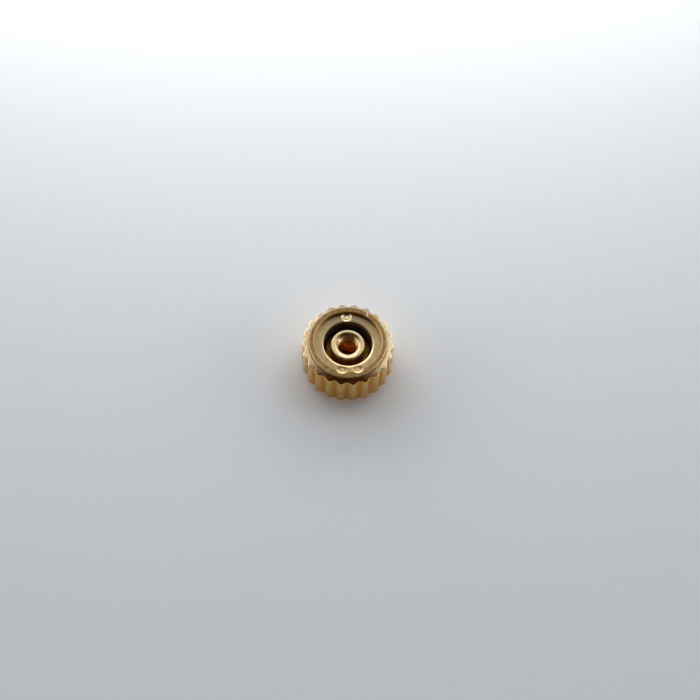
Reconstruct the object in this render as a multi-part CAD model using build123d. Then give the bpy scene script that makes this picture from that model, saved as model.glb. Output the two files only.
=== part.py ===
from build123d import *
import math
import os

# A push-fit watch crown with a fluted cap, lying on its domed outer face.
# Z is the axis of the winding stem and the case side is up.
# Z = 0 is the lowest point of the dome. All lengths are in millimetres.
# Radii build up from the stem thread outwards, and heights from the dome upwards.

# Stem post: the tapped tube in the middle, brazed into the floor of the socket.
thread_bore_diameter = 0.78
post_wall = 0.337
mouth_land_width = 0.127
mouth_depth = 0.10
post_edge_break = 0.03
post_sink = 0.28
shoulder_width = 0.127
spigot_length = 0.45
post_clearance = 0.01

# Socket: the ring-shaped space round the post that the case tube enters.
tube_space_width = 0.353
socket_step_depth = 0.24

# Gasket: a round-section rubber ring that fills its groove in the core.
gasket_groove_height = 0.47
gasket_clearance = 0.005

# Retaining ring: pressed into the mouth of the core, on a ledge over the gasket.
ring_width = 0.37
ring_clearance = 0.01
ring_thickness = 0.30
ring_ledge_width = 0.06
lip_chamfer_width = 0.12
lip_chamfer_depth = 0.06

# Stake marks: dents of a domed punch that lock the ring, at angles round the axis.
# The first is in the ring, and the other two press the inner edge of the rim down.
# A place share of 0 is at the ring's lip and 1 is at its outer edge.
stake_angles = (95.3, 261.8, 290.5)
stake_place_shares = (0.45, 0.76, 0.76)
stake_radii = (0.20, 0.27, 0.27)
stake_depths = (0.06, 0.09, 0.09)

# Core: the turned body that fills the cap and ends in a smooth neck with a flat rim.
rim_wall = 0.24
rim_edge_break = 0.03
ring_seat_flare = 0.03
ring_sink = 0.19
neck_height = 0.24
core_clearance = 0.01

# Cap: one cup of thin sheet, domed outside, fluted round its skirt,
# with its open edge folded in over the core.
sheet_thickness = 0.10
fold_width = 0.32
fold_rise = 0.06
crest_length = 1.50
lower_bevel_width = 0.28
lower_bevel_height = 0.10
dome_height = 0.24
flute_count = 22
flute_depth = 0.13
crest_width = 0.16
first_crest_angle = 1.8

# Length by which every cutting tool runs past the piece that it cuts.
overrun = 0.50

# Radii, from the stem axis outwards.
thread_bore_radius = thread_bore_diameter / 2
post_radius = thread_bore_radius + post_wall
mouth_radius = post_radius - mouth_land_width
spigot_radius = post_radius - shoulder_width
socket_radius = post_radius + tube_space_width
ring_radius = socket_radius + ring_width
seat_radius = ring_radius + ring_clearance
groove_radius = seat_radius - ring_ledge_width
neck_radius = seat_radius + rim_wall
crest_radius = neck_radius + fold_width
dome_radius = crest_radius - lower_bevel_width

# Heights, from the dome to the rim and then down into the case side.
crest_low = dome_height + lower_bevel_height
crest_high = crest_low + crest_length
fold_top = crest_high + fold_rise
rim_top = fold_top + neck_height
ring_top = rim_top - ring_sink
ring_base = ring_top - ring_thickness
groove_floor = ring_base - gasket_groove_height
socket_floor = groove_floor - socket_step_depth
spigot_base = socket_floor - spigot_length
post_top = rim_top - post_sink

pitch_angle = 360 / flute_count


def turned(points):
    """The solid turned round Z from a section of straight runs between (radius, height) points."""
    return revolve(make_face(Plane.XZ * Polyline(*points, close=True)), Axis.Z)


def cap_silhouette(inset):
    """Solid of revolution under the cap's outer face, every face moved in by the inset."""
    dome = ThreePointArc(
        (-dome_radius, dome_height),
        (0, 0),
        (dome_radius, dome_height),
    )
    sides = Polyline(
        (dome_radius, dome_height),
        (crest_radius, crest_low),
        (crest_radius, crest_high),
        (neck_radius, fold_top),
        (-neck_radius, fold_top),
        (-crest_radius, crest_high),
        (-crest_radius, crest_low),
        (-dome_radius, dome_height),
    )
    section = make_face([dome, sides])
    if inset:
        section = offset(section, amount=-inset, kind=Kind.INTERSECTION)
    right_half = Rectangle(crest_radius, fold_top, align=Align.MIN)
    return revolve(Plane.XZ * (section & right_half), Axis.Z)


def flute_cutters(inset):
    """The ring of round cutters that leave the flutes, each grown by the inset."""
    half_angle = math.radians(pitch_angle) / 2 - crest_width / crest_radius / 2
    edge_reach = crest_radius * math.sin(half_angle)
    edge_depth = crest_radius * math.cos(half_angle) - (crest_radius - flute_depth)
    flute_radius = (edge_reach**2 + edge_depth**2) / (2 * edge_depth)
    cutter = Cylinder(
        flute_radius + inset,
        rim_top + 2 * overrun,
        align=(Align.CENTER, Align.CENTER, Align.MIN),
    )
    places = PolarLocations(
        crest_radius - flute_depth + flute_radius,
        flute_count,
        start_angle=first_crest_angle + pitch_angle / 2,
    )
    return [Pos(0, 0, -overrun) * place * cutter for place in places]


def stake_punches():
    """The domed ends of the punch, as deep as they go into the ring and into the rim."""
    punches = []
    for angle, share, radius, depth, surface in zip(
        stake_angles, stake_place_shares, stake_radii, stake_depths, (ring_top, rim_top, rim_top)
    ):
        reach = socket_radius + share * (seat_radius - socket_radius)
        dome_ball_radius = (radius**2 + depth**2) / (2 * depth)
        dome = Pos(0, 0, dome_ball_radius - depth) * Sphere(dome_ball_radius)
        bar = Cylinder(radius, overrun, align=(Align.CENTER, Align.CENTER, Align.CENTER))
        punches.append(Rot(0, 0, angle) * Pos(reach, 0, surface) * (dome & bar))
    return punches


def build_cap():
    """The fluted cup, with the same sheet thickness in its dome, its skirt and its folded edge."""
    outside = cap_silhouette(0) - flute_cutters(0)
    inside = cap_silhouette(sheet_thickness) - flute_cutters(sheet_thickness)
    mouth = Cylinder(
        neck_radius + core_clearance,
        fold_top,
        align=(Align.CENTER, Align.CENTER, Align.MIN),
    )
    return outside - inside - Pos(0, 0, crest_high - sheet_thickness) * mouth


def build_core():
    """The core: a fluted drum inside the cap, and a smooth neck with the stepped bore of the case side."""
    inset = sheet_thickness + core_clearance
    drum = cap_silhouette(inset) - flute_cutters(inset)
    neck = turned(
        [
            (0, crest_low),
            (neck_radius, crest_low),
            (neck_radius, rim_top - rim_edge_break),
            (neck_radius - rim_edge_break, rim_top),
            (0, rim_top),
        ]
    )
    bore = turned(
        [
            (0, spigot_base),
            (spigot_radius + post_clearance, spigot_base),
            (spigot_radius + post_clearance, socket_floor),
            (socket_radius, socket_floor),
            (socket_radius, groove_floor),
            (groove_radius, groove_floor),
            (groove_radius, ring_base),
            (seat_radius, ring_base),
            (seat_radius, ring_top),
            (seat_radius + ring_seat_flare, rim_top),
            (seat_radius + ring_seat_flare, rim_top + overrun),
            (0, rim_top + overrun),
        ]
    )
    return drum + neck - bore - stake_punches()


def build_retaining_ring():
    """The flat ring under the rim, with a chamfered lip over the socket and its stake marks."""
    ring = turned(
        [
            (socket_radius, ring_base),
            (ring_radius, ring_base),
            (ring_radius, ring_top),
            (socket_radius + lip_chamfer_width, ring_top),
            (socket_radius, ring_top - lip_chamfer_depth),
        ]
    )
    return ring - stake_punches()


def build_gasket():
    """The rubber ring, held between the groove's floor and the underside of the retaining ring."""
    section_radius = gasket_groove_height / 2 - gasket_clearance
    mean_radius = groove_radius - gasket_clearance - section_radius
    return Pos(0, 0, groove_floor + gasket_groove_height / 2) * Torus(mean_radius, section_radius)


def build_stem_post():
    """The tapped tube, shouldered on the socket's floor, with its bore at the thread's inner size."""
    return turned(
        [
            (thread_bore_radius, spigot_base),
            (spigot_radius, spigot_base),
            (spigot_radius, socket_floor),
            (post_radius, socket_floor),
            (post_radius, post_top - post_edge_break),
            (post_radius - post_edge_break, post_top),
            (mouth_radius, post_top),
            (thread_bore_radius, post_top - mouth_depth),
        ]
    )


pieces = {
    "knurled_cap": build_cap(),
    "core": build_core(),
    "retaining_ring": build_retaining_ring(),
    "gasket": build_gasket(),
    "stem_post": build_stem_post(),
}

os.makedirs("parts", exist_ok=True)
for name, shape in pieces.items():
    export_step(shape, f"parts/{name}.step")
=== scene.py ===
import math

import bmesh
import bpy
from mathutils import Matrix, Quaternion, Vector


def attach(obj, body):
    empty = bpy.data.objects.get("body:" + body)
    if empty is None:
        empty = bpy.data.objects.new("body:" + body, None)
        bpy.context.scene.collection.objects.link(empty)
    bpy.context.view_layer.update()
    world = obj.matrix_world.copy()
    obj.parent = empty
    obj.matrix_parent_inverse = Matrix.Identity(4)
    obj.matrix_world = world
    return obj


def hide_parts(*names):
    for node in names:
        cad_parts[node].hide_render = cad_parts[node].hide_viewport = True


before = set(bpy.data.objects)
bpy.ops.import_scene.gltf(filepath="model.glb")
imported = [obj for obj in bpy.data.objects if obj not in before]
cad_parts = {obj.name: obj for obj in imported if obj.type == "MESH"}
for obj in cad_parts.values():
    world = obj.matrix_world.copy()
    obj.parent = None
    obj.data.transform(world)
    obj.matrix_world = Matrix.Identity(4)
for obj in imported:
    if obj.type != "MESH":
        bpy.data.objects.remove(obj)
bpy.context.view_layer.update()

# Core: the turned brass body that everything else is fitted to, polished and gold-plated.
# Its neck and flat rim stand out of the cap, and its stepped bore takes the stem post, the
# gasket and the retaining ring from the case side. Its drum, hidden in the cap, is drawn plain.
MM = 0.001               # pieces are drawn in millimetres and brought to metres at the end
NECK_RADIUS = 1.70
RIM_TOP = 2.14
RIM_INNER_RADIUS = 1.49
RIM_EDGE_BREAK = 0.022
RIM_BREAK_ANGLE = 25
RING_SEAT_RADIUS = 1.46
RING_TOP = 1.95
RING_BASE = 1.65
GROOVE_RADIUS = 1.40
GROOVE_FLOOR = 1.18
SOCKET_RADIUS = 1.08
SOCKET_FLOOR = 0.94
SPIGOT_HOLE_RADIUS = 0.61
SPIGOT_HOLE_FLOOR = 0.49
DRUM_BASE = 0.33
LATHE_SEGMENTS = 480
NECK_LOOPS = 12
RIM_LOOPS = 10
SEAT_LOOPS = 12
SOCKET_FLOOR_LOOPS = 6


def blend(start, end, share):
    """The value that lies at a share of the way from start to end."""
    return start + (end - start) * share


def ring_of_edges(name, radius, height, segments=LATHE_SEGMENTS):
    """A bare circle round the stem axis, left in edit mode with its edges selected."""
    bpy.ops.object.select_all(action="DESELECT")
    bpy.ops.mesh.primitive_circle_add(vertices=segments, radius=radius, location=(0, 0, 0))
    piece = bpy.context.object
    piece.name = piece.data.name = name
    bpy.ops.object.mode_set(mode="EDIT")
    bpy.ops.mesh.select_mode(type="EDGE")
    bpy.ops.mesh.select_all(action="SELECT")
    bpy.ops.transform.translate(value=(0, 0, height))
    return piece


def extrude(lift=0.0):
    """Draws a new ring out of the selected one, straight up by the lift."""
    bpy.ops.mesh.extrude_region_move(TRANSFORM_OT_translate={"value": (0, 0, lift)})


def turn(*stations):
    """Carries the selected ring through (radius, height) stations, the way a lathe tool travels."""
    radius, height = stations[0]
    for next_radius, next_height in stations[1:]:
        extrude(next_height - height)
        grow = next_radius / radius
        bpy.ops.transform.resize(value=(grow, grow, 1))
        radius, height = next_radius, next_height


def run(start, end, count):
    """Stations that cut a straight run into equal steps, from the first step to its end."""
    return [
        (blend(start[0], end[0], step / count), blend(start[1], end[1], step / count))
        for step in range(1, count + 1)
    ]


def close_end(lift=0.0):
    """Draws the selected ring to a point on the stem axis."""
    extrude(lift)
    bpy.ops.mesh.merge(type="CENTER")


def select_open_ring():
    """Selects the ring of edges that still bounds the surface."""
    bpy.ops.mesh.select_all(action="DESELECT")
    bpy.ops.mesh.select_non_manifold()


def soften_edges(piece, width, angle=40, segments=3):
    """Breaks every edge sharper than the angle, with a rounded chamfer of the given width."""
    bpy.ops.object.mode_set(mode="OBJECT")
    rounding = piece.modifiers.new("edge_break", "BEVEL")
    rounding.width = width
    rounding.segments = segments
    rounding.limit_method = "ANGLE"
    rounding.angle_limit = math.radians(angle)
    bpy.ops.object.modifier_apply(modifier=rounding.name)


core = ring_of_edges("core", NECK_RADIUS, DRUM_BASE)
turn(
    (NECK_RADIUS, DRUM_BASE),
    *run((NECK_RADIUS, DRUM_BASE), (NECK_RADIUS, RIM_TOP), NECK_LOOPS),
    *run((NECK_RADIUS, RIM_TOP), (RIM_INNER_RADIUS, RIM_TOP), RIM_LOOPS),
    *run((RIM_INNER_RADIUS, RIM_TOP), (RING_SEAT_RADIUS, RING_TOP), SEAT_LOOPS),
    (RING_SEAT_RADIUS, RING_BASE),
    (GROOVE_RADIUS, RING_BASE),
    (GROOVE_RADIUS, GROOVE_FLOOR),
    (SOCKET_RADIUS, GROOVE_FLOOR),
    (SOCKET_RADIUS, SOCKET_FLOOR),
    *run((SOCKET_RADIUS, SOCKET_FLOOR), (SPIGOT_HOLE_RADIUS, SOCKET_FLOOR), SOCKET_FLOOR_LOOPS),
    (SPIGOT_HOLE_RADIUS, SPIGOT_HOLE_FLOOR),
)
close_end()
select_open_ring()
close_end()
soften_edges(core, RIM_EDGE_BREAK, RIM_BREAK_ANGLE)

# Stake marks: three dents of a hollow-ended punch that lock the retaining ring. The far one is
# in the ring itself. The two near ones lie across the joint, and their outer halves press
# the rim's inner edge down. The hollow of the punch leaves a low ridged island in each.
FAR_MARK, NEAR_LEFT_MARK, NEAR_RIGHT_MARK = range(3)
STAKE_ANGLES = (95.3, 261.8, 290.5)
STAKE_REACHES = (1.325, 1.37, 1.37)
STAKE_RADII = (0.245, 0.27, 0.27)
STAKE_LEANS = (0.05, 0.8, 0.8)
ISLAND_SHARE = 0.40
STAKE_SECTION = (        # share of the mark's radius, and depth there
    (0.0, 0.004),
    (ISLAND_SHARE, 0.006),
    (0.46, 0.030),
    (0.50, 0.030),
    (1.0, 0.0),
)
ISLAND_RIDGE_SLOPE = 0.20
STAKE_CUTS = 3
HAIR = 0.0005            # places that are closer together than this count as one
FLAT_TOLERANCE = 0.002
DEEPEST_PRESSED = 0.06
CORE_MARK_FINISH = 5


def pick_faces(piece, wanted):
    """Selects the faces of a piece that pass a test, and no others, and stays in edit mode."""
    bpy.ops.object.mode_set(mode="EDIT")
    bpy.ops.mesh.select_mode(type="FACE")
    bpy.ops.mesh.select_all(action="DESELECT")
    bpy.ops.object.mode_set(mode="OBJECT")
    for face in piece.data.polygons:
        face.select = wanted(face)
    bpy.ops.object.mode_set(mode="EDIT")


def stake_depth(share):
    """Depth of a stake mark at a share of its radius."""
    for inner, outer in zip(STAKE_SECTION, STAKE_SECTION[1:]):
        if share <= outer[0]:
            return blend(inner[1], outer[1], (share - inner[0]) / (outer[0] - inner[0]))
    return 0.0


def punch(piece, surface, marks):
    """Presses stake marks into a piece whose flat lies at the given height.

    The faces under a mark are first cut finer. A leaning mark is deeper on its outer side,
    and each mark is listed with the finish that the pressed faces take.
    """
    for mark, finish in marks.items():
        turned_to = math.radians(STAKE_ANGLES[mark])
        reach = STAKE_REACHES[mark]
        radius = STAKE_RADII[mark]
        spot = Vector((reach * math.cos(turned_to), reach * math.sin(turned_to)))
        pick_faces(piece, lambda face: (
            (face.center.xy - spot).length < radius
            and abs(face.center.z - surface) < FLAT_TOLERANCE))
        bpy.ops.mesh.subdivide(number_cuts=STAKE_CUTS)
        bpy.ops.object.mode_set(mode="OBJECT")
        for vertex in piece.data.vertices:
            off = vertex.co.xy - spot
            share = off.length / radius
            if share >= 1:
                continue
            outward = (vertex.co.xy.length - reach) / radius
            pressed = stake_depth(share) * (1 + STAKE_LEANS[mark] * outward)
            if share < ISLAND_SHARE:
                pressed += ISLAND_RIDGE_SLOPE * abs(off.x)
            vertex.co.z = min(vertex.co.z, surface - pressed)
        for face in piece.data.polygons:
            under_punch = (face.center.xy - spot).length < radius
            if under_punch and surface - DEEPEST_PRESSED < face.center.z < surface - HAIR:
                face.material_index = finish


punch(core, RIM_TOP, {NEAR_LEFT_MARK: CORE_MARK_FINISH, NEAR_RIGHT_MARK: CORE_MARK_FINISH})

# Nick: a short scratch straight across the far right of the rim. It slopes down from its left
# side to its bottom and ends in one steep side on the right. Its slope is bright, from its shape
# and from a whiter burnish tint that is partly a painted highlight.
NICK_LEFT = 0.745
NICK_BOTTOM = 0.805
NICK_RIGHT = 0.825
NICK_DEPTH = 0.016
NICK_SURROUND = 0.08     # how far on either side of its bottom the rim's faces are cut
NICK_LAYER = RIM_EDGE_BREAK * 1.5
FAR_RIM_START = 1.2
CORE_NICK_FINISH = 1


def on_far_rim(place, layer):
    """Whether a place lies on the rim's far side, no lower than a layer under its flat."""
    return place.y > FAR_RIM_START and place.z > RIM_TOP - layer


for side in (NICK_LEFT, NICK_BOTTOM, NICK_RIGHT):
    pick_faces(core, lambda face: (
        abs(face.center.x - NICK_BOTTOM) < NICK_SURROUND
        and on_far_rim(face.center, RIM_EDGE_BREAK)))
    bpy.ops.mesh.bisect(plane_co=(side, 0, 0), plane_no=(1, 0, 0))
bpy.ops.object.mode_set(mode="OBJECT")
for vertex in core.data.vertices:
    if abs(vertex.co.x - NICK_BOTTOM) < HAIR and on_far_rim(vertex.co, NICK_LAYER):
        vertex.co.z -= NICK_DEPTH

# Plating of the core: one gold, polished on the rim, satin on the neck and left as turned in the
# bore, with some tints that paint light and shade. The neck is paler, partly painted light, and
# the bore a deep orange, painted warm reflection inside the hollow. The wall round the ring's seat
# is pale yellow on its sides, a painted highlight, and turns brown on the far side, painted shade.
# The punch has rubbed the marks, and the scratch is bright, its whiter tint partly a painted
# highlight.
CORE_NECK_FINISH = 2
CORE_SEAT_FINISH = 3
CORE_BORE_FINISH = 4
NECK_MARGIN = 0.003
SEAT_MARGIN = 0.02
SEAT_SHADE_START = 0.04  # how far under the rim the shade on the seat begins
SMOOTH_ANGLE = 32
PATCH_SCALE = 900.0
SCUFF_SCALE = 5200.0
LATHE_MARK_SCALE = 26000.0
MARK_HEIGHT = 0.006


def finish_piece(piece, node, slot, *materials):
    """Brings a piece to metres, turns its faces outward and hands it to the frame."""
    bpy.ops.object.mode_set(mode="EDIT")
    bpy.ops.mesh.select_all(action="SELECT")
    bpy.ops.mesh.normals_make_consistent(inside=False)
    bpy.ops.object.mode_set(mode="OBJECT")
    piece.scale = (MM, MM, MM)
    bpy.ops.object.transform_apply(location=False, rotation=False, scale=True)
    bpy.ops.object.shade_smooth_by_angle(angle=math.radians(SMOOTH_ANGLE))
    for material in materials:
        piece.data.materials.append(material)
    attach(piece, "root")
    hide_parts(node)


def add_node(tree, kind, values=None, links=None, **settings):
    """A shader node, with its settings, the values of its sockets and the outputs they take."""
    node = tree.nodes.new(kind)
    for setting, value in settings.items():
        setattr(node, setting, value)
    for socket, value in (values or {}).items():
        node.inputs[socket].default_value = value
    for socket, output in (links or {}).items():
        tree.links.new(output, node.inputs[socket])
    return node


def gold_plate(name, tint, warm_tint, roughness, lathe_marks=0.0, grain=0.2, painted_shading=()):
    """Plated gold: two tints in soft patches, fine scuffs, and rings left by the lathe.

    The last argument lists further tints, laid over by side, depth or reach, that paint shade and
    reflected colour onto the plate; each has the measure it goes by, "reach", "height" or "away",
    and the places in millimetres where it is full and where it ends.
    """
    material = bpy.data.materials.new(name)
    material.use_nodes = True
    tree = material.node_tree
    shader = tree.nodes["Principled BSDF"]
    shader.inputs["Metallic"].default_value = 1.0
    place = add_node(tree, "ShaderNodeTexCoord").outputs["Object"]

    flat = add_node(
        tree, "ShaderNodeVectorMath", operation="MULTIPLY",
        values={1: (1, 1, 0)}, links={0: place})
    reach = add_node(
        tree, "ShaderNodeVectorMath", operation="LENGTH",
        links={0: flat.outputs["Vector"]})
    axes = add_node(tree, "ShaderNodeSeparateXYZ", links={"Vector": place})
    measures = {
        "reach": reach.outputs["Value"],
        "height": axes.outputs["Z"],
        "away": axes.outputs["Y"],
    }

    patches = add_node(
        tree, "ShaderNodeTexNoise",
        values={"Scale": PATCH_SCALE, "Detail": 5.0, "Roughness": 0.6},
        links={"Vector": place})
    spread = add_node(
        tree, "ShaderNodeMapRange",
        values={"From Min": 0.38, "From Max": 0.66},
        links={"Value": patches.outputs["Fac"]})
    colour = add_node(
        tree, "ShaderNodeMix", data_type="RGBA",
        values={"A": (*tint, 1.0), "B": (*warm_tint, 1.0)},
        links={"Factor": spread.outputs["Result"]}).outputs["Result"]
    # Each further tint, painted shade and painted reflected colour, is laid over the colour so far.
    for painted_shading_tint, measure, full_at, ends_at in painted_shading:
        painted_shading_share = add_node(
            tree, "ShaderNodeMapRange",
            values={"From Min": full_at * MM, "From Max": ends_at * MM},
            links={"Value": measures[measure]})
        colour = add_node(
            tree, "ShaderNodeMix", data_type="RGBA",
            values={"A": (*painted_shading_tint, 1.0)},
            links={"B": colour, "Factor": painted_shading_share.outputs["Result"]}).outputs["Result"]
    tree.links.new(colour, shader.inputs["Base Color"])

    scuffs = add_node(
        tree, "ShaderNodeTexNoise",
        values={"Scale": SCUFF_SCALE, "Detail": 6.0, "Roughness": 0.7},
        links={"Vector": place}).outputs["Fac"]
    polish = add_node(
        tree, "ShaderNodeMapRange",
        values={"From Min": 0.3, "From Max": 0.7,
                "To Min": roughness * 0.7, "To Max": roughness * 1.35},
        links={"Value": scuffs})
    tree.links.new(polish.outputs["Result"], shader.inputs["Roughness"])

    surface = add_node(
        tree, "ShaderNodeBump",
        values={"Strength": grain, "Distance": MARK_HEIGHT * MM},
        links={"Height": scuffs}).outputs["Normal"]
    if lathe_marks:
        rings = add_node(
            tree, "ShaderNodeTexNoise", noise_dimensions="1D",
            values={"Scale": LATHE_MARK_SCALE, "Detail": 3.0},
            links={"W": measures["reach"]})
        surface = add_node(
            tree, "ShaderNodeBump",
            values={"Strength": lathe_marks, "Distance": MARK_HEIGHT * MM},
            links={"Height": rings.outputs["Fac"], "Normal": surface}).outputs["Normal"]
    tree.links.new(surface, shader.inputs["Normal"])
    return material


for face in core.data.polygons:
    reach = face.center.xy.length
    height = face.center.z
    if on_far_rim(face.center, NICK_LAYER) and NICK_LEFT < face.center.x < NICK_BOTTOM:
        face.material_index = CORE_NICK_FINISH
    elif reach > NECK_RADIUS - NECK_MARGIN:
        face.material_index = CORE_NECK_FINISH
    elif reach > RING_SEAT_RADIUS - SEAT_MARGIN and RING_BASE < height < RIM_TOP - SEAT_SHADE_START:
        face.material_index = CORE_SEAT_FINISH
    elif height < RING_BASE:
        face.material_index = CORE_BORE_FINISH
# A whiter tint than the rest: partly the real burnish of punch and scratch, partly a painted
# highlight that brightens the nick and the ring's far mark.
burnish_and_painted_highlight = gold_plate(
    "gold_burnish_and_painted_highlight", tint=(1.0, 0.86, 0.57), warm_tint=(1.0, 0.84, 0.53),
    roughness=0.25, grain=0.04)
rubbed = gold_plate(
    "gold_rubbed", tint=(0.78, 0.58, 0.33), warm_tint=(0.75, 0.54, 0.29),
    roughness=0.36, grain=0.08)
finish_piece(
    core, "core", "core_gold",
    gold_plate(
        "gold_polished", tint=(0.78, 0.55, 0.28), warm_tint=(0.73, 0.49, 0.22),
        roughness=0.28, lathe_marks=0.2, grain=0.06),
    burnish_and_painted_highlight,
    # Paler than the rim: satin gold, and partly painted light that lightens the neck wall.
    gold_plate(
        "gold_neck", tint=(0.88, 0.72, 0.44), warm_tint=(0.84, 0.66, 0.36),
        roughness=0.55, grain=0.12),
    # Pale yellow tint: painted highlight on the sides of the seat wall. The brown tint on its far
    # side is painted shade.
    gold_plate(
        "gold_in_shade", tint=(0.94, 0.82, 0.50), warm_tint=(0.90, 0.77, 0.44),
        roughness=0.35, painted_shading=[((0.36, 0.17, 0.05), "away", 1.25, 0.70)]),
    # Deep orange tint: painted warm reflection and shade inside the bore and socket. The roughness
    # and lathe marks are its turned finish.
    gold_plate(
        "gold_bored", tint=(1.0, 0.66, 0.16), warm_tint=(1.0, 0.58, 0.13),
        roughness=0.46, lathe_marks=0.3),
    rubbed,
)

# Stem post: the tapped brass tube brazed into the middle of the core, gold-plated with it.
# The winding stem screws into it, so its mouth is opened out to guide the stem, a little off
# centre, and its bore carries a fine right-hand thread that runs out into the mouth.
POST_RADIUS = 0.727
POST_TOP = 1.86
POST_EDGE_BREAK = 0.03
POST_EDGE_DROP = 0.004
POST_EDGE_WIDTH = 0.05
POST_EDGE_ROUNDING = 0.02
POST_LOOPS = 8
POST_SEGMENTS = 240
SPIGOT_RADIUS = 0.60
THREAD_INNER_RADIUS = 0.39
THREAD_OUTER_RADIUS = 0.50
THREAD_PITCH = 0.25
THREAD_END = SPIGOT_HOLE_FLOOR + THREAD_PITCH / 8
THREAD_LOOPS = 110
GROOVE_STEEPNESS = 1.35
GROOVE_CREST_SHARE = 0.12
MOUTH_RADIUS = 0.60
MOUTH_SECTION = (
    (MOUTH_RADIUS, 1.859),
    (0.55, 1.846),
    (0.50, 1.824),
    (0.45, 1.785),
    (0.42, 1.740),
    (0.40, 1.700),
    (THREAD_INNER_RADIUS, 1.67),
)
MOUTH_BASE = MOUTH_SECTION[-1][1]
MOUTH_NEAR_GROWTH = 0.085
MOUTH_NEAR_SINK = 0.021
MOUTH_NEAR_POWER = 1.5
MOUTH_FINISH = 1
MOUTH_FINISH_DEPTH = 0.003
THREAD_FINISH = 2
THREAD_FINISH_TOP = MOUTH_BASE + 0.03


def join_ends():
    """Welds the last ring of a turned section to its first."""
    bpy.ops.mesh.select_all(action="SELECT")
    bpy.ops.mesh.remove_doubles(threshold=HAIR)


def cut_thread(piece):
    """Cuts the stem thread into the bore: sharp-rooted grooves that climb one pitch a turn."""
    for vertex in piece.data.vertices:
        reach = vertex.co.xy.length
        in_bore = THREAD_INNER_RADIUS - HAIR < reach < THREAD_OUTER_RADIUS
        if not in_bore or vertex.co.z < THREAD_END:
            continue
        turn_share = math.atan2(vertex.co.y, vertex.co.x) / math.tau
        climb = (vertex.co.z / THREAD_PITCH - turn_share) % 1
        ridge = abs(2 * climb - 1)
        groove = min(1, max(0, GROOVE_STEEPNESS * (1 - ridge) - GROOVE_CREST_SHARE))
        cut = blend(THREAD_INNER_RADIUS, THREAD_OUTER_RADIUS, groove)
        if cut > reach:
            vertex.co.xy *= cut / reach


stem_post = ring_of_edges("stem_post", SPIGOT_RADIUS, SPIGOT_HOLE_FLOOR, POST_SEGMENTS)
turn(
    (SPIGOT_RADIUS, SPIGOT_HOLE_FLOOR),
    (SPIGOT_RADIUS, SOCKET_FLOOR),
    (POST_RADIUS, SOCKET_FLOOR),
    *run((POST_RADIUS, SOCKET_FLOOR), (POST_RADIUS, POST_TOP - POST_EDGE_BREAK), POST_LOOPS),
    (POST_RADIUS - POST_EDGE_BREAK, POST_TOP - POST_EDGE_DROP),
    (POST_RADIUS - POST_EDGE_WIDTH, POST_TOP),
    *MOUTH_SECTION,
    *run(MOUTH_SECTION[-1], (THREAD_INNER_RADIUS, SPIGOT_HOLE_FLOOR), THREAD_LOOPS),
    (SPIGOT_RADIUS, SPIGOT_HOLE_FLOOR),
)
join_ends()
bpy.ops.object.mode_set(mode="OBJECT")
for vertex in stem_post.data.vertices:
    reach = vertex.co.xy.length
    if reach < MOUTH_RADIUS + HAIR and vertex.co.z > MOUTH_BASE + HAIR:
        near = max(0.0, (1 - vertex.co.y / reach) / 2) ** MOUTH_NEAR_POWER
        if reach > MOUTH_RADIUS - HAIR:
            vertex.co.xy *= (reach + MOUTH_NEAR_GROWTH * near) / reach
        else:
            vertex.co.z -= MOUTH_NEAR_SINK * near
soften_edges(stem_post, POST_EDGE_ROUNDING)
cut_thread(stem_post)
for face in stem_post.data.polygons:
    in_mouth = face.center.xy.length < MOUTH_RADIUS + MOUTH_NEAR_GROWTH
    if in_mouth and face.center.z < POST_TOP - MOUTH_FINISH_DEPTH:
        above_thread = face.center.z > THREAD_FINISH_TOP
        face.material_index = MOUTH_FINISH if above_thread else THREAD_FINISH
# The post's extra tints are painted shade and painted warm reflection: darker and redder low on its
# wall and deep in the thread, and browner on the far side of the mouth and the thread.
finish_piece(
    stem_post, "stem_post", "post_gold",
    gold_plate(
        "gold_turned", tint=(1.0, 0.88, 0.62), warm_tint=(1.0, 0.84, 0.54),
        roughness=0.55, lathe_marks=0.2, grain=0.1,
        painted_shading=[((0.95, 0.45, 0.09), "height", 1.50, 1.78)]),
    gold_plate(
        "gold_mouth", tint=(0.80, 0.63, 0.40), warm_tint=(0.77, 0.59, 0.36),
        roughness=0.36, grain=0.08,
        painted_shading=[((0.62, 0.36, 0.15), "away", 0.42, 0.25)]),
    gold_plate(
        "gold_threaded", tint=(0.80, 0.56, 0.32), warm_tint=(0.76, 0.50, 0.27),
        roughness=0.28, grain=0.08,
        painted_shading=[((0.62, 0.34, 0.13), "away", 0.40, 0.26),
              ((1.0, 0.40, 0.06), "height", 1.20, 1.62)]),
)

# Knurled cap: one cup of thin gold-plated sheet, pressed over the core. Its skirt is fluted
# for the fingers, its open edge is folded in against the neck, and its outer face is
# a shallow polished dome. Its hidden inside is drawn solid, up to a plain bore for the core.
CREST_RADIUS = 2.02
FLUTE_COUNT = 22
FLUTE_DEPTH = 0.125
FLUTE_FULLNESS = 1.05
FIRST_CREST_ANGLE = 1.8
STEPS_PER_FLUTE = 28
DOME_RADIUS = 1.74
DOME_HEIGHT = 0.24
CREST_LOW = 0.34
CREST_HIGH = 1.84
FOLD_TOP = 1.90
FOLD_GAP = 0.01
CAP_BORE_RADIUS = NECK_RADIUS + FOLD_GAP
CAP_BORE_FLOOR = 0.32
CAP_EDGE_BREAK = 0.035
CAP_EDGE_SEGMENTS = 4
DOME_LOOPS = 26
SKIRT_LOOPS = 10
FOLD_LOOPS = 4
FOLD_FINISH = 1
FOLD_FINISH_RISE = 0.004
# The far teeth take the fold's finish, painted shade, on their top edges.
FAR_TEETH_START = 0.9
FAR_TEETH_DROP = 0.03    # on the far teeth, the fold's finish goes this far down their edges


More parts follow.
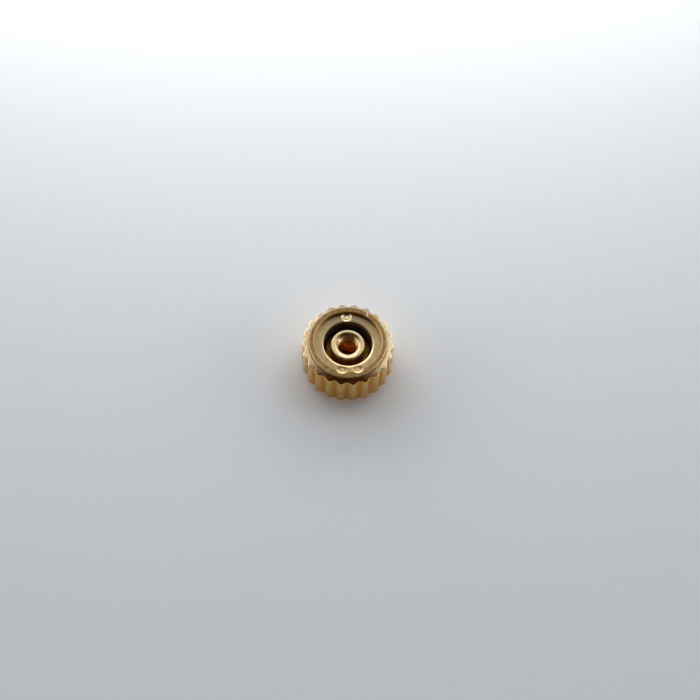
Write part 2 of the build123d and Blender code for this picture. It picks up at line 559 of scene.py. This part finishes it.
def fluted_reach(angle):
    """How far the fluted skirt stands from the stem axis at an angle round it."""
    turned_by = (angle - math.radians(FIRST_CREST_ANGLE)) * FLUTE_COUNT
    return CREST_RADIUS - FLUTE_DEPTH * ((1 - math.cos(turned_by)) / 2) ** FLUTE_FULLNESS


def bevel_height(reach):
    """Height of the lower bevel at a reach."""
    rise = (CREST_LOW - DOME_HEIGHT) / (CREST_RADIUS - DOME_RADIUS)
    return CREST_LOW - (CREST_RADIUS - reach) * rise


def fold_height(reach):
    """Height of the folded edge at a reach."""
    rise = (FOLD_TOP - CREST_HIGH) / (CREST_RADIUS - NECK_RADIUS)
    return CREST_HIGH + (CREST_RADIUS - reach) * rise


def shape_ring(piece, reach_at, height_at):
    """Puts each selected vertex at the reach for its angle and the height for its reach."""
    mesh = bmesh.from_edit_mesh(piece.data)
    for vertex in mesh.verts:
        if vertex.select:
            reach = reach_at(math.atan2(vertex.co.y, vertex.co.x))
            vertex.co.xy *= reach / vertex.co.xy.length
            vertex.co.z = height_at(reach)
    bmesh.update_edit_mesh(piece.data)


dome_ball_radius = (DOME_RADIUS**2 + DOME_HEIGHT**2) / (2 * DOME_HEIGHT)
dome_reaches = [DOME_RADIUS * (1 - loop / DOME_LOOPS) for loop in range(DOME_LOOPS)]
dome_stations = [
    (reach, dome_ball_radius - math.sqrt(dome_ball_radius**2 - reach**2))
    for reach in dome_reaches
]
knurled_cap = ring_of_edges("knurled_cap", CREST_RADIUS, CREST_LOW, FLUTE_COUNT * STEPS_PER_FLUTE)
extrude()
shape_ring(knurled_cap, lambda angle: DOME_RADIUS, lambda reach: DOME_HEIGHT)
turn(*dome_stations)
close_end(-dome_stations[-1][1])
select_open_ring()
shape_ring(knurled_cap, fluted_reach, bevel_height)
for loop in range(1, SKIRT_LOOPS + 1):
    extrude()
    shape_ring(
        knurled_cap,
        fluted_reach,
        lambda reach: blend(bevel_height(reach), fold_height(reach), loop / SKIRT_LOOPS))
for loop in range(1, FOLD_LOOPS + 1):
    extrude()
    shape_ring(
        knurled_cap,
        lambda angle: blend(fluted_reach(angle), CAP_BORE_RADIUS, loop / FOLD_LOOPS),
        fold_height)
turn((CAP_BORE_RADIUS, fold_height(CAP_BORE_RADIUS)), (CAP_BORE_RADIUS, CAP_BORE_FLOOR))
close_end()
soften_edges(knurled_cap, CAP_EDGE_BREAK, segments=CAP_EDGE_SEGMENTS)
# The fold's finish, with its painted shade, also covers the top edges of the far teeth.
for face in knurled_cap.data.polygons:
    on_far_teeth = face.center.y > FAR_TEETH_START
    fold_start = CREST_HIGH - FAR_TEETH_DROP if on_far_teeth else CREST_HIGH + FOLD_FINISH_RISE
    if face.center.z > fold_start:
        face.material_index = FOLD_FINISH
finish_piece(
    knurled_cap, "knurled_cap", "cap_gold",
    # Over the pressed tint lie painted shade and reflection: a deeper tint on the near side, darker
    # lower down, and red-orange in the flute valleys. On the far side a plain deeper gold covers
    # the valley tint.
    gold_plate(
        "gold_pressed", tint=(0.92, 0.78, 0.52), warm_tint=(0.88, 0.71, 0.43),
        roughness=0.26,
        painted_shading=[((0.76, 0.52, 0.20), "away", -1.55, -0.50),
              ((0.66, 0.44, 0.16), "height", 0.10, 1.30),
              ((0.70, 0.34, 0.05), "reach", 1.905, 1.96),
              ((0.82, 0.59, 0.28), "away", 1.20, 0.60)]),
    # Dark brown on the near side and grey-brown on the far side: painted shade on the fold.
    gold_plate(
        "gold_folded", tint=(0.80, 0.67, 0.46), warm_tint=(0.78, 0.62, 0.40),
        roughness=0.28,
        painted_shading=[((0.42, 0.19, 0.04), "away", -1.65, -1.05),
              ((0.41, 0.32, 0.22), "away", 1.75, 1.10)]),
)

# Gasket: a round-section ring of black rubber in the core's groove. The case tube slides
# through it. It is squeezed flat where the retaining ring and the groove's floor press on it.
GASKET_SECTION_RADIUS = 0.23
GASKET_MEAN_RADIUS = 1.165
GASKET_HEIGHT = 1.415
GASKET_SQUEEZE = 0.90
GASKET_SEGMENTS = 240
GASKET_SECTION_SEGMENTS = 48


def plain_finish(name, colour, roughness):
    """A material of one even colour and gloss."""
    material = bpy.data.materials.new(name)
    material.use_nodes = True
    shader = material.node_tree.nodes["Principled BSDF"]
    shader.inputs["Base Color"].default_value = (*colour, 1)
    shader.inputs["Roughness"].default_value = roughness
    return material


bpy.ops.object.select_all(action="DESELECT")
bpy.ops.mesh.primitive_torus_add(
    location=(0, 0, 0),
    major_radius=GASKET_MEAN_RADIUS,
    minor_radius=GASKET_SECTION_RADIUS,
    major_segments=GASKET_SEGMENTS,
    minor_segments=GASKET_SECTION_SEGMENTS,
)
gasket = bpy.context.object
gasket.name = gasket.data.name = "gasket"
bpy.ops.object.mode_set(mode="EDIT")
bpy.ops.mesh.select_all(action="SELECT")
bpy.ops.transform.resize(value=(1, 1, 1 / GASKET_SQUEEZE))
bpy.ops.transform.translate(value=(0, 0, GASKET_HEIGHT))
bpy.ops.object.mode_set(mode="OBJECT")
gasket_base = GASKET_HEIGHT - GASKET_SECTION_RADIUS
gasket_top = GASKET_HEIGHT + GASKET_SECTION_RADIUS
for vertex in gasket.data.vertices:
    vertex.co.z = min(max(vertex.co.z, gasket_base), gasket_top)
finish_piece(
    gasket, "gasket", "gasket_rubber",
    plain_finish("black_rubber", colour=(0.017, 0.011, 0.011), roughness=0.5),
)

# Retaining ring: a flat turned ring pressed onto its ledge over the gasket and staked.
# Paler gold than the rest, with a satin face. The bright chamfer round its lip was cut off
# centre, so that it is widest on the near right and almost gone on the far left.
RING_OUTER_RADIUS = 1.45
RING_EDGE_BREAK = 0.012
RING_LOOPS = 18
RING_BORE_LOOPS = 6
LIP_RADIUS = 1.22
LIP_SECTION = (
    (1.19, 1.942),
    (1.15, 1.926),
    (1.11, 1.908),
    (SOCKET_RADIUS, 1.892),
)
LIP_BASE = LIP_SECTION[-1][1] - 0.002
LIP_WIDEST_ANGLE = 295
LIP_LEAST_SHARE = 0.15
LIP_LEAST_DEPTH = 0.001
UPWARD = 0.5             # a face whose normal rises more than this looks up
FAR_MARK_FINISH = 1
LIP_FINISH = 2
NEAR_MARK_FINISH = 2

retaining_ring = ring_of_edges("retaining_ring", SOCKET_RADIUS, RING_BASE)
turn(
    (SOCKET_RADIUS, RING_BASE),
    (RING_OUTER_RADIUS, RING_BASE),
    (RING_OUTER_RADIUS, RING_TOP),
    *run((RING_OUTER_RADIUS, RING_TOP), (LIP_RADIUS, RING_TOP), RING_LOOPS),
    *LIP_SECTION,
    *run(LIP_SECTION[-1], (SOCKET_RADIUS, RING_BASE), RING_BORE_LOOPS),
)
join_ends()
soften_edges(retaining_ring, RING_EDGE_BREAK)
for vertex in retaining_ring.data.vertices:
    reach = vertex.co.xy.length
    if vertex.co.z > LIP_BASE and reach < LIP_RADIUS + HAIR:
        turned_by = math.atan2(vertex.co.y, vertex.co.x) - math.radians(LIP_WIDEST_ANGLE)
        share = blend(LIP_LEAST_SHARE, 1, ((1 + math.cos(turned_by)) / 2) ** 2)
        vertex.co.xy *= blend(SOCKET_RADIUS, reach, share) / reach
        vertex.co.z = blend(RING_TOP, vertex.co.z, share)
for face in retaining_ring.data.polygons:
    if face.normal.z > UPWARD and face.center.z < RING_TOP - LIP_LEAST_DEPTH:
        face.material_index = LIP_FINISH
punch(retaining_ring, RING_TOP, {
    FAR_MARK: FAR_MARK_FINISH,
    NEAR_LEFT_MARK: NEAR_MARK_FINISH,
    NEAR_RIGHT_MARK: NEAR_MARK_FINISH,
})
finish_piece(
    retaining_ring, "retaining_ring", "ring_gold",
    gold_plate(
        "gold_satin", tint=(0.78, 0.62, 0.38), warm_tint=(0.75, 0.58, 0.33),
        roughness=0.42, lathe_marks=0.25, grain=0.1),
    # The far mark's whiter tint is partly a painted highlight.
    burnish_and_painted_highlight,
    rubbed,
)

# Floor: a plain pale sheet that the crown lies on, dome down. It is larger than any view
# of the crown.
FLOOR_HALF_WIDTH = 0.4

bpy.ops.object.select_all(action="DESELECT")
bpy.ops.mesh.primitive_plane_add(size=2 * FLOOR_HALF_WIDTH, location=(0, 0, 0))
floor = bpy.context.object
floor.name = "floor"
floor.data.materials.append(
    plain_finish("pale_floor", colour=(0.94, 0.96, 0.985), roughness=0.7))

# Light: a soft low window behind the crown, in a room that glows along its lower walls, most
# on the far side, with two paler patches high on the far left and right. The room is dim
# overhead, and dark behind and above the window.
WINDOW_PLACE = (-0.003, 0.032, 0.014)
WINDOW_WIDTH = 0.060
WINDOW_RISE = 0.024
WINDOW_WATTS = 0.0078
WALL_GLOW = 2.7
WALL_FADE_START = 0.30
WALL_FADE_END = 0.575
NEAR_WALL_SHARE = 0.22
NEAR_WALL_END = -0.71
FAR_WALL_START = -0.10
LEFT_PATCH_AIM = (-0.414, 0.532, 0.739)
LEFT_PATCH_GLOW = 2.45
RIGHT_PATCH_AIM = (0.414, 0.532, 0.739)
RIGHT_PATCH_GLOW = 3.00
PATCH_EDGE = 0.889
ROOM_GLOW = 0.034
DARK_PLACE_AIM = (0.0, 0.872, 0.490)
DARK_PLACE_EDGE = 0.50

bpy.ops.object.light_add(type="AREA", location=WINDOW_PLACE)
window = bpy.context.object
window.name = "window"
window.data.shape = "RECTANGLE"
window.data.size = WINDOW_WIDTH
window.data.size_y = WINDOW_RISE
window.data.energy = WINDOW_WATTS
window.rotation_euler = (-Vector(WINDOW_PLACE)).to_track_quat("-Z", "Y").to_euler()
window.visible_camera = False

world = bpy.data.worlds.new("room")
bpy.context.scene.world = world
world.use_nodes = True
room = world.node_tree
sky = room.nodes["Background"]
sky.inputs["Color"].default_value = (0.96, 0.98, 1.0, 1)
direction = add_node(room, "ShaderNodeTexCoord").outputs["Generated"]
room_axes = add_node(room, "ShaderNodeSeparateXYZ", links={"Vector": direction})


def room_range(source, start, end, low, high):
    """A straight change of brightness along one measure of direction in the room."""
    change = add_node(
        room, "ShaderNodeMapRange",
        values={"From Min": start, "From Max": end, "To Min": low, "To Max": high},
        links={"Value": source})
    return change.outputs["Result"]


def room_mix(operation, first, second):
    """Two brightnesses added or multiplied."""
    both = add_node(room, "ShaderNodeMath", operation=operation, links={0: first, 1: second})
    return both.outputs["Value"]


def towards(aim):
    """How nearly a direction in the room points along the aim, 1 when it does."""
    measure = add_node(
        room, "ShaderNodeVectorMath", operation="DOT_PRODUCT",
        values={1: Vector(aim).normalized()}, links={0: direction})
    return measure.outputs["Value"]


brightness = room_mix(
    "MULTIPLY",
    room_range(room_axes.outputs["Z"], WALL_FADE_START, WALL_FADE_END, WALL_GLOW, 0.0),
    room_range(room_axes.outputs["Y"], NEAR_WALL_END, FAR_WALL_START, NEAR_WALL_SHARE, 1.0))
for aim, glow in ((LEFT_PATCH_AIM, LEFT_PATCH_GLOW), (RIGHT_PATCH_AIM, RIGHT_PATCH_GLOW)):
    patch = room_range(towards(aim), PATCH_EDGE, 1.0, 0.0, glow)
    brightness = room_mix("ADD", brightness, patch)
brightness = add_node(
    room, "ShaderNodeMath", operation="ADD",
    values={1: ROOM_GLOW}, links={0: brightness}).outputs["Value"]
dark_place = room_range(towards(DARK_PLACE_AIM), DARK_PLACE_EDGE, 1.0, 1.0, 0.0)
brightness = room_mix("MULTIPLY", brightness, dark_place)
room.links.new(brightness, sky.inputs["Strength"])

# Camera: at the photograph's angle and lean, looking down at the case side from the near side.
# The middle of the rim falls on the same pixel as in the photograph.
ELEVATION = 61.5
CAMERA_DISTANCE = 0.080
CAMERA_LEAN = 3.0
PHOTO_SIDE = 700
PIXELS_PER_METRE = 22900
RIM_CENTRE_PIXEL = (348.0, 341.1)

bpy.ops.object.camera_add()
camera = bpy.context.object
tilt = math.radians(ELEVATION)
back = Vector((0, -math.cos(tilt), math.sin(tilt)))
up = Vector((0, math.sin(tilt), math.cos(tilt)))
right = Vector((1, 0, 0))
lean = Quaternion(back, math.radians(CAMERA_LEAN))
right.rotate(lean)
up.rotate(lean)
across = (PHOTO_SIDE / 2 - RIM_CENTRE_PIXEL[0]) / PIXELS_PER_METRE
down = (PHOTO_SIDE / 2 - RIM_CENTRE_PIXEL[1]) / PIXELS_PER_METRE
rim_centre = Vector((0, 0, RIM_TOP * MM))
camera.location = rim_centre + back * CAMERA_DISTANCE + right * across - up * down
camera.rotation_mode = "QUATERNION"
camera.rotation_quaternion = Matrix((right, up, back)).transposed().to_quaternion()
camera.data.lens = camera.data.sensor_width * PIXELS_PER_METRE * CAMERA_DISTANCE / PHOTO_SIDE
camera.data.clip_start = 0.001
camera.data.clip_end = 2.0
bpy.context.scene.camera = camera
bpy.context.scene.view_settings.view_transform = "Standard"
bpy.context.scene.view_settings.exposure = 0.15
bpy.context.scene.view_settings.gamma = 0.8
